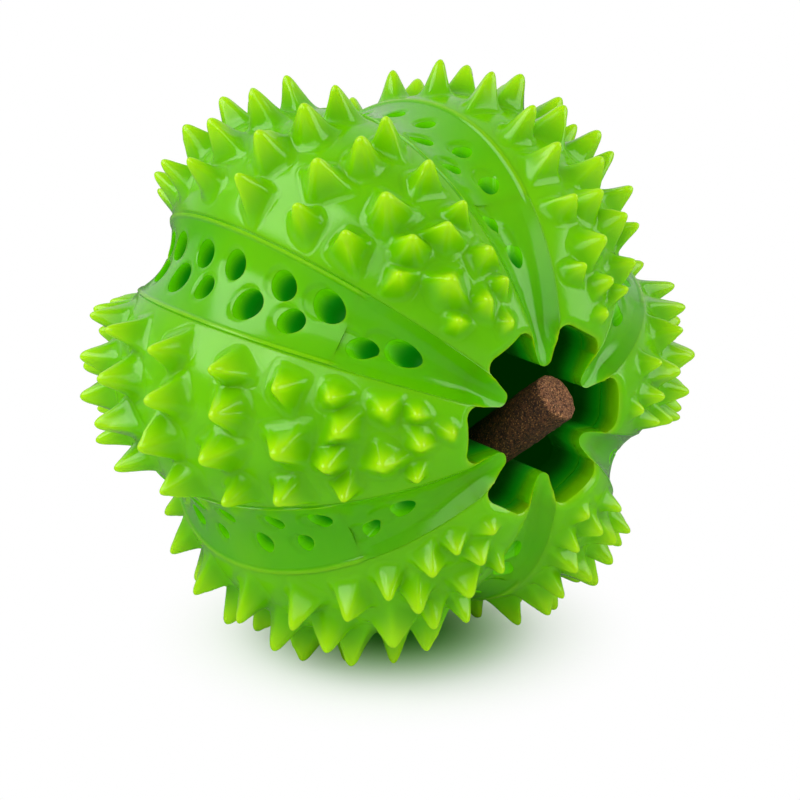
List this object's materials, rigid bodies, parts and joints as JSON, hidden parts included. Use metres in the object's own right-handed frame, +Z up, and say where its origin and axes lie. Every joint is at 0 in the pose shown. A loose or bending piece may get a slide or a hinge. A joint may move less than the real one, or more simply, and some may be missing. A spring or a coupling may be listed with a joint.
{
  "type": "spiked rubber dog ball",
  "caption": "Hollow spiked rubber dog ball with bands of soft spikes between pocketed channels and a toothed mouth that holds a treat stick.",
  "frame": {"origin": "on the floor plane, under the middle of the whole part", "axes": "-Y out of the mouth, +Z up, +X to the right of someone who faces the mouth"},
  "size_m": [0.098, 0.0834, 0.0917],
  "materials": {
    "shell_rubber": "glossy translucent lime green thermoplastic rubber",
    "spike_rubber": "glossy translucent lime green thermoplastic rubber, yellower at the tips",
    "tooth_rubber": "glossy translucent lime green thermoplastic rubber",
    "treat": "dry brown chewy treat, matt and speckled"
  },
  "bodies": {
    "ball": {"front_shell": "shell_rubber", "rear_shell": "shell_rubber", "spiked_band_1": "spike_rubber", "spiked_band_2": "spike_rubber", "spiked_band_3": "spike_rubber", "spiked_band_4": "spike_rubber", "spiked_band_5": "spike_rubber", "spiked_band_6": "spike_rubber"},
    "tooth_1": {"mouth_tooth_1": "tooth_rubber"},
    "tooth_2": {"mouth_tooth_2": "tooth_rubber"},
    "tooth_3": {"mouth_tooth_3": "tooth_rubber"},
    "tooth_4": {"mouth_tooth_4": "tooth_rubber"},
    "tooth_5": {"mouth_tooth_5": "tooth_rubber"},
    "tooth_6": {"mouth_tooth_6": "tooth_rubber"},
    "treat": {"treat_stick": "treat"}
  },
  "joints": [
    {"name": "tooth_1_flex", "type": "hinge", "parent": "ball", "child": "tooth_1", "pos_m": [0.01057, -0.03341, 0.05169], "axis": [-0.5, 0, 0.866], "range_deg": [-20, 20], "stiffness_Nm_per_rad": 0.05},
    {"name": "tooth_2_flex", "type": "hinge", "parent": "ball", "child": "tooth_2", "pos_m": [0, -0.03341, 0.05779], "axis": [-1, 0, 0], "range_deg": [-20, 20], "stiffness_Nm_per_rad": 0.05},
    {"name": "tooth_3_flex", "type": "hinge", "parent": "ball", "child": "tooth_3", "pos_m": [-0.01057, -0.03341, 0.05169], "axis": [-0.5, 0, -0.866], "range_deg": [-20, 20], "stiffness_Nm_per_rad": 0.05},
    {"name": "tooth_4_flex", "type": "hinge", "parent": "ball", "child": "tooth_4", "pos_m": [-0.01057, -0.03341, 0.0395], "axis": [0.5, 0, -0.866], "range_deg": [-20, 20], "stiffness_Nm_per_rad": 0.05},
    {"name": "tooth_5_flex", "type": "hinge", "parent": "ball", "child": "tooth_5", "pos_m": [0, -0.03341, 0.0334], "axis": [1, 0, 0], "range_deg": [-20, 20], "stiffness_Nm_per_rad": 0.05},
    {"name": "tooth_6_flex", "type": "hinge", "parent": "ball", "child": "tooth_6", "pos_m": [0.01057, -0.03341, 0.0395], "axis": [0.5, 0, 0.866], "range_deg": [-20, 20], "stiffness_Nm_per_rad": 0.05},
    {"name": "treat_slide", "type": "slide", "parent": "ball", "child": "treat", "axis": [0.3153, -0.6947, 0.6465], "range_m": [0, 0.05]}
  ]
}
